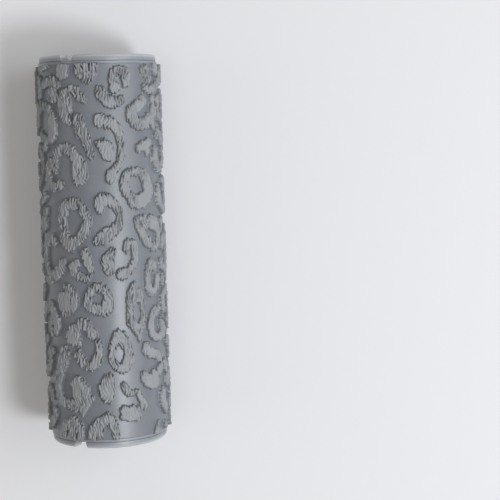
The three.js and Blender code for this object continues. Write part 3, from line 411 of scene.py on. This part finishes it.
# Marks that close on themselves round a smooth middle
RINGS = [
    [(7.8, 20.6, 1.8), (10, 21.5, 1.6), (12.4, 20.8, 2.2), (13.8, 18.6, 3), (14.4, 15.8, 3),
     (12.4, 13.8, 3.6), (10.2, 13.4, 3.4), (8.3, 15.2, 2.4), (7, 17.8, 2.2)],
    [(-9.4, 11.6, 2.4), (-7.8, 13.4, 2.4), (-5.6, 13.4, 2.6), (-3.4, 11.2, 2), (-2.6, 8.6, 1.9),
     (-3.8, 5.6, 2.2), (-6, 3.4, 2.6), (-7.8, 1.8, 2.4), (-9.2, 4.4, 2.7), (-9.9, 8, 2.3)],
    [(14.2, -3.6, 2.2), (16.2, -4.2, 2), (17, -6.6, 1.6), (16.8, -9.2, 1.8), (15.6, -11, 1.8),
     (13.6, -10.6, 1.8), (13.3, -7, 1.8)],
    [(-1, -8.8, 2.1), (1.2, -9.9, 2.3), (1.9, -12.2, 2.5), (1.3, -14.5, 3), (-0.8, -14.8, 2.7),
     (-2.9, -13.7, 2.3), (-3.4, -11.2, 1.7)],
    [(4.4, -22, 3), (5.8, -24, 2.6), (6.8, -26.6, 2.2), (6.6, -29.2, 2.8), (4.9, -30.8, 2.4),
     (3, -29.8, 1.8), (2.2, -27.2, 1.4), (2.8, -24.4, 1.8)],
    [(33.4, 45.2, 2), (35.4, 45.2, 2), (36.8, 42.6, 1.8), (36.6, 38.8, 2), (34.4, 36.6, 2.2),
     (32, 37.2, 2), (31.2, 40.4, 2), (32, 43.8, 2)],
    [(44.8, 9.4, 1.8), (46.4, 10.8, 2.2), (48.4, 11.8, 2.2), (50.6, 10.6, 2.4), (51.4, 7.6, 2.4),
     (50.6, 4.2, 2.4), (49, 1.6, 2.4), (47, 3.4, 2), (45.6, 6.2, 2)],
    [(29, -7.2, 2), (31.2, -6.2, 2), (33.2, -7.6, 2.4), (33.6, -10.6, 2.4), (32, -13, 2.4),
     (29.8, -12.8, 2.2), (28.8, -10, 1.8)],
    [(51, -19.8, 2), (49.8, -22.4, 2), (50.6, -25.6, 2.2), (52.6, -26.2, 2.2), (53.8, -23.6, 2.2),
     (53, -20.6, 2)],
    [(37, -38.2, 2.2), (39.2, -38.8, 2.2), (40.7, -41.4, 2.2), (40.6, -44.4, 2.2),
     (38.8, -46.6, 2.4), (36.6, -46.2, 2.2), (35.8, -43.4, 1.8), (36, -40.6, 1.8)],
    [(56, 12.6, 2), (58.2, 13.2, 2), (60, 11.4, 2.2), (60, 8.6, 2.2), (58, 6.8, 2), (55.8, 7.6, 2),
     (55.2, 10.2, 1.8)],
    [(63, -14.8, 2), (65.4, -15.4, 2.2), (66.6, -18, 2.2), (65.6, -20.8, 2), (63, -21.6, 2),
     (61.6, -19.4, 1.8), (61.8, -16.6, 1.8)],
]

# Where the marks are nearly smooth pads, as rows of (around, along, radius). Around and the radius
# count hundredths of the turn, and along counts hundredths of the length.
SMOOTH_PADS = [
    (-8.2, 48.4, 2.6), (5.4, 43.7, 2.3), (-11.5, 42.0, 1.8), (12.6, 38.4, 2.4),
    (-12.1, 34.0, 3.0), (3.0, 27.0, 3.0), (14.6, 28.4, 2.6), (6.2, 23.8, 1.8),
    (-6.3, 21.6, 1.9), (4.0, 20.8, 2.0), (12.2, 14.2, 3.0), (-6.2, 9.6, 1.0),
    (16.2, 6.8, 2.6), (-2.6, -2.6, 2.8), (3.0, -2.4, 1.6), (5.4, -5.8, 1.8),
    (-10.4, -12.6, 3.2), (-7.6, -13.2, 2.8), (2.0, -14.0, 1.9), (15.2, -9.8, 2.2),
    (9.4, -19.4, 1.8), (-8.0, -22.2, 2.6), (15.6, -22.0, 3.0), (14.2, -27.4, 2.8),
    (-14.0, -18.0, 3.0), (4.8, -30.4, 1.8), (13.4, -35.4, 3.0), (-7.4, -36.2, 3.2),
    (6.2, -43.2, 3.2), (19.4, -41.0, 3.0), (-12.4, -31.0, 1.8), (-13.8, -36.4, 1.8),
]


def smooth_step(x):
    """Values eased from 0 to 1, with no kink at either end."""
    x = np.clip(x, 0, 1)
    return x * x * (3 - 2 * x)


def smooth_noise(turn, share, cells, seed):
    """Smooth random values from -1 to 1, without a seam round the turn.

    share runs from 0 to 1 along the sleeve.
    """
    around, along = cells
    table = np.random.default_rng(seed).uniform(-1, 1, (around, along + 2))
    across = turn % 1 * around
    up = np.clip(share, 0, 1) * along
    i = np.floor(across).astype(int)
    j = np.floor(up).astype(int)
    f = smooth_step(across - i)
    g = smooth_step(up - j)
    this, after = i % around, (i + 1) % around
    near = table[this, j] * (1 - f) + table[after, j] * f
    far = table[this, j + 1] * (1 - f) + table[after, j + 1] * f
    return near * (1 - g) + far * g


def curve_through(points, closed):
    """The points with CURVE_STEPS steps between each pair, on one Catmull-Rom curve."""
    points = np.array(points, float)
    if closed:
        before, start, end, after = (np.roll(points, k, axis=0) for k in (1, 0, -1, -2))
    else:
        padded = np.vstack([points[:1], points, points[-1:]])
        before, start, end, after = (padded[k : len(points) - 1 + k] for k in range(4))
    rows = []
    for step in range(CURVE_STEPS):
        t = step / CURVE_STEPS
        rows.append(
            0.5
            * (
                2 * start
                + (end - before) * t
                + (2 * before - 5 * start + 4 * end - after) * t**2
                + (3 * start - before - 3 * end + after) * t**3
            )
        )
    curve = np.stack(rows, 1).reshape(-1, 3)
    return np.vstack([curve, curve[:1] if closed else points[-1:]])


def pull_ends(line):
    """Move the two ends of an open stroke in, for the round caps that they get."""
    for end, inner in ((0, 1), (-1, -2)):
        heading = line[inner, :2] - line[end, :2]
        heading /= max(np.linalg.norm(heading), TINY)
        line[end, :2] += heading * line[end, 2] * 2 * END_PULL_SHARE
    return line


def stamp(depth, x, y, start, end):
    """Raise depth, in place, to how far inside the round-ended segment each grid point is."""
    reach = max(start[2], end[2]) + HAIR_REACH + GAP_BITE
    near_x = np.abs(x - (start[0] + end[0]) / 2) < abs(end[0] - start[0]) / 2 + reach
    near_y = np.abs(y - (start[1] + end[1]) / 2) < abs(end[1] - start[1]) / 2 + reach
    columns, rows = np.flatnonzero(near_x), np.flatnonzero(near_y)
    if not len(columns) or not len(rows):
        return
    window = np.ix_(columns, rows)
    dx = x[columns][:, None] - start[0]
    dy = y[rows][None, :] - start[1]
    way = end[:2] - start[:2]
    t = np.clip((dx * way[0] + dy * way[1]) / max(way @ way, TINY), 0, 1)
    miss = np.hypot(dx - t * way[0], dy - t * way[1])
    inside = start[2] + t * (end[2] - start[2]) - miss
    depth[window] = np.maximum(depth[window], inside)


def mark_depth(turns, along, girth, length):
    """How far inside a mark each grid point is, in metres. It is negative outside."""
    depth = np.full((len(turns), len(along)), -HAIR_REACH - GAP_BITE)
    scale = [girth * HUNDREDTH, length * HUNDREDTH, WIDTH_UNIT / 2]
    for strokes, closed in ((MARKS, False), (RINGS, True)):
        for points in strokes:
            line = curve_through(points, closed) * scale
            if not closed:
                line = pull_ends(line)
            for shift in (-girth, 0, girth):
                moved = line + [shift, 0, 0]
                for start, end in zip(moved[:-1], moved[1:]):
                    stamp(depth, turns * girth, along, start, end)
    return depth


def along_hair(table, number, up):
    """The table's random values along each hair, eased from one value to the next."""
    low = np.floor(up).astype(int)
    part = smooth_step(up - low)
    hair = number % len(table)
    return table[hair, low] * (1 - part) + table[hair, low + 1] * part


def smooth_places(turns, along, girth, length):
    """How smooth each grid point is, from 0 to 1. It is 1 in the middle of a pad."""
    smooth = np.zeros((len(turns), len(along)))
    for around, up, radius in SMOOTH_PADS:
        across = ((turns - around * HUNDREDTH + 0.5) % 1 - 0.5) * girth
        past = along - up * HUNDREDTH * length
        away = np.hypot(across[:, None], past[None, :])
        smooth = np.maximum(smooth, smooth_step((radius * HUNDREDTH * girth - away) / PAD_EDGE))
    return smooth


def hair_layer(depth, smooth, turns, along, girth, lean, seed):
    """The height, as a share, of one layer of hairs that stand where the marks are deep enough."""
    turn, place = np.meshgrid(turns, along, indexing="ij")
    share = (place - along[0]) / (along[-1] - along[0])
    roughness = 1 - PAD_NEATNESS * smooth

    # The hair that each grid point is on, and how near its ridge the point is
    sway = HAIR_SWAY * smooth_noise(turn, share, SWAY_CELLS, seed)
    curl = HAIR_CURL * smooth_noise(turn, share, CURL_CELLS, seed + 1)
    hairs = round(girth / HAIR_PITCH)
    position = (turn * girth + lean * place + sway + curl) / girth * hairs
    number = np.floor(position).astype(int)
    ridge = 1 - np.cos(math.pi * (position - number)) ** RIDGE_POWER

    # How far along the hair the edge of the mark is moved, and how high the hair stands
    cells = round((along[-1] - along[0]) / HAIR_LENGTH)
    random = np.random.default_rng(seed)
    reach_table = random.uniform(-1, 1, (hairs, cells + 3))
    height_table = random.uniform(LOWEST_HAIR, 1, (hairs, cells + 3))
    up = share * cells + random.uniform(0, 1, hairs)[number % hairs]
    reach = HAIR_REACH * along_hair(reach_table, number, up) * roughness
    height = along_hair(height_table, number, up)

    # How far inside the moved edge the point is. The margin keeps row low + 1 on the grid.
    last_row = len(along) - 1 - ROW_MARGIN
    row = np.clip((place + reach - along[0]) / (along[1] - along[0]), 0, last_row)
    low = np.floor(row).astype(int)
    column = np.arange(len(turns))[:, None]
    part = row - low
    inside = depth[column, low] * (1 - part) + depth[column, low + 1] * part
    edge = MARK_GROWTH - GAP_BITE * roughness * (1 - ridge)
    standing = smooth_step((inside + edge) / EDGE_SOFTNESS)

    matted = smooth_noise(turn, share, GAP_FLOOR_CELLS, seed + 2)
    floor = np.clip(GAP_FLOOR + GAP_FLOOR_CHANGE * matted, *GAP_FLOOR_RANGE)
    floor += (PAD_FLOOR - floor) * smooth
    return standing * (floor + (1 - floor) * ridge * height)


def relief(turns, along, girth, length):
    """The height of the surface over the plain barrel, in metres, at each grid point."""
    depth = mark_depth(turns, along, girth, length)
    smooth = smooth_places(turns, along, girth, length)
    layers = [
        hair_layer(depth, smooth, turns, along, girth, lean, seed)
        for lean, seed in HAIR_LAYERS
    ]
    return RELIEF_HEIGHT * np.maximum(*layers)


def add_object(name, data):
    """A new object in the scene, at the origin."""
    new = bpy.data.objects.new(name, data)
    bpy.context.scene.collection.objects.link(new)
    return new


def closed_tube(name, radii, turns, along, smooth_rows):
    """A closed ring of quads round the Y axis. Column j of the radii lies at along[j]."""
    count, rows = radii.shape
    x = radii * np.sin(2 * math.pi * turns)[:, None]
    z = radii * np.cos(2 * math.pi * turns)[:, None]
    y = np.broadcast_to(along, radii.shape)
    points = np.stack([x, y, z], -1).reshape(-1, 3)
    i = np.arange(count)[:, None]
    j = np.arange(rows)[None, :]
    here = i * rows + j
    right = (i + 1) % count * rows + j
    across = (i + 1) % count * rows + (j + 1) % rows
    above = i * rows + (j + 1) % rows
    quads = np.stack(np.broadcast_arrays(here, right, across, above), -1).reshape(-1, 4)
    mesh = bpy.data.meshes.new(name)
    mesh.vertices.add(len(points))
    mesh.vertices.foreach_set("co", points.ravel())
    mesh.loops.add(quads.size)
    mesh.loops.foreach_set("vertex_index", quads.ravel())
    mesh.polygons.add(len(quads))
    mesh.polygons.foreach_set("loop_start", np.arange(0, quads.size, 4))
    smooth = np.broadcast_to(smooth_rows, (count, rows)).ravel()
    mesh.polygons.foreach_set("use_smooth", smooth)
    mesh.update(calc_edges=True)
    mesh.validate()
    return add_object(name, mesh)


def build_sleeve(half_length):
    """The sleeve with its raised marks, as one closed surface with the bore."""
    length = 2 * half_length
    turns = np.arange(STEPS_AROUND) / STEPS_AROUND
    along = np.linspace(-half_length, half_length, STEPS_ALONG + 1)
    girth = 2 * math.pi * (BARREL_RADIUS + RELIEF_HEIGHT / 2)
    outer = BARREL_RADIUS + relief(turns, along, girth, length)
    bore = np.full((STEPS_AROUND, 1), SLEEVE_BORE_RADIUS)
    radii = np.hstack([bore, outer, bore])
    rows = np.concatenate([along[:1], along, along[-1:]])
    smooth = np.ones(len(rows), bool)
    smooth[[0, -2]] = False
    return closed_tube("sleeve", radii, turns, rows, smooth)


def collar_profile(inner, seat, face):
    """(radius, distance along the axis) round a collar, from the bore's inner end outwards."""
    bore = RIM_RADIUS - COLLAR_WALL
    rim_start = face - RIM_LENGTH
    return [
        (bore, inner),
        (SPIGOT_RADIUS - SPIGOT_LEAD, inner),
        (SPIGOT_RADIUS, inner + SPIGOT_LEAD),
        (SPIGOT_RADIUS, seat),
        (SHOULDER_RADIUS, seat),
        (SHOULDER_RADIUS, rim_start - GROOVE_WIDTH),
        (RIM_RADIUS - GROOVE_DEPTH, rim_start - GROOVE_WIDTH),
        (RIM_RADIUS - GROOVE_DEPTH, rim_start),
        (RIM_RADIUS, rim_start),
        (RIM_RADIUS - RIM_TAPER, face - RIM_CHAMFER),
        (RIM_RADIUS - RIM_TAPER - RIM_CHAMFER, face),
        (bore + BORE_CHAMFER, face),
        (bore, face - BORE_CHAMFER),
    ]


def notch_cutter(name, turn, face, side):
    """A wedge that crosses the rim along the radius at turn, open at the end face."""
    floor, top = face - NOTCH_DEPTH, face + NOTCH_DEPTH
    half_floor, half_mouth = NOTCH_FLOOR_WIDTH / 2, NOTCH_WIDTH / 2
    outline = [
        (-half_floor, floor),
        (half_floor, floor),
        (half_mouth, face),
        (half_mouth, top),
        (-half_mouth, top),
        (-half_mouth, face),
    ]
    points = []
    for radius in (RIM_RADIUS - 2 * COLLAR_WALL, RIM_RADIUS + COLLAR_WALL):
        for across, along in outline:
            x = radius * math.sin(turn) + across * math.cos(turn)
            z = radius * math.cos(turn) - across * math.sin(turn)
            points.append((x, side * along, z))
    count = len(outline)
    faces = [list(range(count)), list(range(2 * count - 1, count - 1, -1))]
    faces += [[i, i + count, (i + 1) % count + count, (i + 1) % count] for i in range(count)]
    mesh = bpy.data.meshes.new(name)
    mesh.from_pydata(points, [], faces)
    work = bmesh.new()
    work.from_mesh(mesh)
    bmesh.ops.recalc_face_normals(work, faces=work.faces)
    work.to_mesh(mesh)
    work.free()
    return add_object(name, mesh)


def build_collar(name, node, side):
    """A collar with its notches cut and its edges rounded.

    side is 1 at the +Y end and -1 at the other.
    """
    ends = sorted(abs(corner.y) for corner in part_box(node))
    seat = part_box("textured_sleeve")[1].y
    profile = collar_profile(ends[0], seat, ends[1])[::side]
    radii = np.tile([radius for radius, along in profile], (COLLAR_STEPS, 1))
    along = np.array([side * along for radius, along in profile])
    turns = np.arange(COLLAR_STEPS) / COLLAR_STEPS
    collar = closed_tube(name, radii, turns, along, np.ones(len(along), bool))
    cutters = []
    for k in range(NOTCH_COUNT):
        turn = 2 * math.pi * (NOTCH_AROUND * HUNDREDTH + k / NOTCH_COUNT)
        cutters.append(notch_cutter(f"{name}_notch_{k}", turn, ends[1], side))
        cut = collar.modifiers.new(f"notch_{k}", "BOOLEAN")
        cut.operation = "DIFFERENCE"
        cut.solver = "EXACT"
        cut.object = cutters[-1]
    rounding = collar.modifiers.new("rounding", "BEVEL")
    rounding.width = EDGE_ROUNDING
    rounding.segments = ROUNDING_SEGMENTS
    rounding.limit_method = "ANGLE"
    rounding.angle_limit = math.radians(ROUNDING_ANGLE)
    graph = bpy.context.evaluated_depsgraph_get()
    mesh = bpy.data.meshes.new_from_object(collar.evaluated_get(graph))
    collar.modifiers.clear()
    collar.data = mesh
    for cutter in cutters:
        bpy.data.objects.remove(cutter)
    mesh.shade_smooth()
    mesh.set_sharp_from_angle(angle=math.radians(SHARP_ANGLE))
    return collar


def add_node(tree, kind, inputs=None, **settings):
    """A new node. An input that is a socket is linked, and any other is a plain value."""
    node = tree.nodes.new(kind)
    for name, value in settings.items():
        setattr(node, name, value)
    for socket, value in (inputs or {}).items():
        if isinstance(value, bpy.types.NodeSocket):
            tree.links.new(value, node.inputs[socket])
        else:
            node.inputs[socket].default_value = value
    return node


def maths(tree, operation, *values):
    """The result of an operation on numbers."""
    node = add_node(tree, "ShaderNodeMath", dict(enumerate(values)), operation=operation)
    return node.outputs[0]


def vector_maths(tree, operation, *values):
    """The outputs of an operation on vectors."""
    node = add_node(tree, "ShaderNodeVectorMath", dict(enumerate(values)), operation=operation)
    return node.outputs


def ramp(tree, value, before, after=(0, 1), smooth=False):
    """The value moved from the range before to the range after, and held at its ends."""
    inputs = {
        "Value": value,
        "From Min": before[0],
        "From Max": before[1],
        "To Min": after[0],
        "To Max": after[1],
    }
    kind = "SMOOTHSTEP" if smooth else "LINEAR"
    node = add_node(tree, "ShaderNodeMapRange", inputs, interpolation_type=kind)
    return node.outputs["Result"]


def mix_colours(tree, share, first, second):
    """The first colour where share is 0, and the second where it is 1."""
    inputs = {"Factor": share, 6: first, 7: second}
    return add_node(tree, "ShaderNodeMix", inputs, data_type="RGBA").outputs[2]


def noise(tree, place, settings):
    """Noise in space, from its scale, detail and roughness."""
    inputs = {"Vector": place, **dict(zip(("Scale", "Detail", "Roughness"), settings))}
    return add_node(tree, "ShaderNodeTexNoise", inputs).outputs["Fac"]


def new_material(name):
    """A material, its node tree and its shader."""
    material = bpy.data.materials.new(name)
    material.use_nodes = True
    tree = material.node_tree
    return material, tree, tree.nodes["Principled BSDF"]


def resin(name, body_colour, top_colour, body_roughness, top_roughness):
    """Cured resin. Painted shade darkens the foot of the marks, and their tops have a tone of
    their own.
    """
    material, tree, shader = new_material(name)
    place = add_node(tree, "ShaderNodeTexCoord").outputs["Object"]
    flat = vector_maths(tree, "MULTIPLY", place, (1, 0, 1))[0]
    radius = vector_maths(tree, "LENGTH", flat)["Value"]
    start, end = [
        ramp(tree, radius, [BARREL_RADIUS + RELIEF_HEIGHT * share for share in band], smooth=True)
        for band in (GAP_SHADE_BAND, TOP_BAND)
    ]
    # Painted shade: the foot and the walls of the marks are darkened with the gap shade colour
    foot_shade = mix_colours(tree, start, body_colour, GAP_SHADE_COLOUR)
    colour = mix_colours(tree, end, foot_shade, top_colour)
    clouds = noise(tree, place, CLOUD_NOISE)
    shade = ramp(tree, clouds, NOISE_RANGE, (1 - CLOUD_CHANGE, 1 + CLOUD_CHANGE))
    varied = vector_maths(tree, "MULTIPLY", colour, shade)[0]

    gloss = ramp(tree, end, (0, 1), (body_roughness, top_roughness))
    grain = noise(tree, place, GRAIN_NOISE)
    change = ramp(tree, grain, NOISE_RANGE, (-ROUGHNESS_CHANGE, ROUGHNESS_CHANGE))
    roughness = maths(tree, "ADD", gloss, change)
    bump = add_node(
        tree,
        "ShaderNodeBump",
        {"Height": grain, "Strength": GRAIN_STRENGTH, "Distance": GRAIN_DEPTH},
    ).outputs["Normal"]
    tree.links.new(varied, shader.inputs["Base Color"])
    tree.links.new(roughness, shader.inputs["Roughness"])
    tree.links.new(bump, shader.inputs["Normal"])
    shader.inputs["Specular IOR Level"].default_value = RESIN_SPECULAR
    return material


def paint_edge_highlight(material, end):
    """Paint a highlight on the thin edge next to each end face, standing in for the light that
    passes through the resin there.
    """
    tree = material.node_tree
    base = tree.nodes["Principled BSDF"].inputs["Base Color"]
    place = add_node(tree, "ShaderNodeTexCoord").outputs["Object"]
    along = add_node(tree, "ShaderNodeSeparateXYZ", {0: place}).outputs["Y"]
    from_middle = maths(tree, "ABSOLUTE", along)
    near_end = ramp(tree, from_middle, (end - EDGE_HIGHLIGHT_WIDTH, end - BRIGHTEST_WIDTH), smooth=True)
    tree.links.new(mix_colours(tree, near_end, base.links[0].from_socket, EDGE_HIGHLIGHT_COLOUR), base)


def build_floor(height):
    """A pale floor that fades, for the camera alone, into the background."""
    mesh = bpy.data.meshes.new("floor")
    half = FLOOR_SIZE / 2
    corners = [(-half, -half), (half, -half), (half, half), (-half, half)]
    mesh.from_pydata([(x, y, height) for x, y in corners], [], [(0, 1, 2, 3)])
    floor = add_object("floor", mesh)
    material, tree, shader = new_material("floor_paint")
    shader.inputs["Base Color"].default_value = FLOOR_COLOUR
    shader.inputs["Roughness"].default_value = FLOOR_ROUGHNESS
    shader.inputs["Specular IOR Level"].default_value = FLOOR_SPECULAR
    place = add_node(tree, "ShaderNodeTexCoord").outputs["Object"]
    distance = vector_maths(tree, "LENGTH", place)["Value"]
    far = ramp(tree, distance, (FADE_START, FADE_END), smooth=True)
    ray = add_node(tree, "ShaderNodeLightPath").outputs["Is Camera Ray"]
    faded = maths(tree, "MULTIPLY", far, ray)
    seen = add_node(
        tree, "ShaderNodeEmission", {"Color": BACKGROUND_COLOUR, "Strength": 1.0}
    ).outputs[0]
    mixed = add_node(
        tree, "ShaderNodeMixShader", {0: faded, 1: shader.outputs[0], 2: seen}
    ).outputs[0]
    tree.links.new(mixed, tree.nodes["Material Output"].inputs["Surface"])
    mesh.materials.append(material)
    floor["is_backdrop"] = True


def add_lamp(name, sideways, forward, distance, size, share, colour):
    """A round soft lamp that faces the origin.

    Its two angles lean it from +Z towards +X and +Y, and share is how bright it makes a white
    surface that faces it.
    """
    data = bpy.data.lights.new(name, "AREA")
    data.shape = "DISK"
    data.size = size
    data.energy = share * (math.pi * distance) ** 2
    data.color = colour
    tangents = [math.tan(math.radians(angle)) for angle in (sideways, forward)]
    lean = Vector((*tangents, 1)).normalized()
    lamp = add_object(name, data)
    lamp.location = lean * distance
    lamp.rotation_mode = "QUATERNION"
    lamp.rotation_quaternion = lean.to_track_quat("Z", "Y")


def light_world():
    """Soft light from all round, and a pale background where the camera looks past the floor."""
    world = bpy.data.worlds.new("studio")
    bpy.context.scene.world = world
    world.use_nodes = True
    tree = world.node_tree
    tree.nodes.clear()
    light = add_node(
        tree, "ShaderNodeBackground", {"Color": (*WARM, 1), "Strength": AMBIENT_SHARE}
    ).outputs[0]
    seen = add_node(
        tree, "ShaderNodeBackground", {"Color": BACKGROUND_COLOUR, "Strength": 1.0}
    ).outputs[0]
    ray = add_node(tree, "ShaderNodeLightPath").outputs["Is Camera Ray"]
    mixed = add_node(tree, "ShaderNodeMixShader", {0: ray, 1: light, 2: seen}).outputs[0]
    add_node(tree, "ShaderNodeOutputWorld", {"Surface": mixed})


def place_camera():
    """The camera of the photograph, as the one that renders."""
    data = bpy.data.cameras.new("camera")
    data.sensor_width = SENSOR_WIDTH
    data.lens = LENS
    camera = add_object("camera", data)
    camera.location = CAMERA_PLACE
    camera.rotation_euler = [math.radians(angle) for angle in CAMERA_TILT]
    bpy.context.scene.camera = camera


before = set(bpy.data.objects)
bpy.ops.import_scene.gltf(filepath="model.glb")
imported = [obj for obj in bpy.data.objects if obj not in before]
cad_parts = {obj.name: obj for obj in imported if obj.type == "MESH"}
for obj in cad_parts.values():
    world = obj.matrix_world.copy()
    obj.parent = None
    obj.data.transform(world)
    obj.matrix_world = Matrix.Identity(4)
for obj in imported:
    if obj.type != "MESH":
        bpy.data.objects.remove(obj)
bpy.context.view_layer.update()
place_camera()
bpy.context.scene.view_settings.view_transform = "Standard"
light_world()
for settings in LAMPS:
    add_lamp(*settings)
build_floor(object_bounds()[0].z)

sleeve = build_sleeve(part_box("textured_sleeve")[1].y)
sleeve_finish = resin("sleeve_resin", BARREL_COLOUR, TOP_COLOUR, BARREL_ROUGHNESS, TOP_ROUGHNESS)
sleeve.data.materials.append(sleeve_finish)
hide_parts("textured_sleeve")
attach(sleeve, "root")

collar_finish = resin(
    "collar_resin", COLLAR_COLOUR, COLLAR_COLOUR, BARREL_ROUGHNESS, BARREL_ROUGHNESS
)
# A painted highlight on the collars' edges next to their end faces
paint_edge_highlight(collar_finish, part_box("far_end_collar")[1].y)
for name, node, side in COLLARS:
    collar = build_collar(name, node, side)
    collar.data.materials.append(collar_finish)
    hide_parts(node)
    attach(collar, "root")
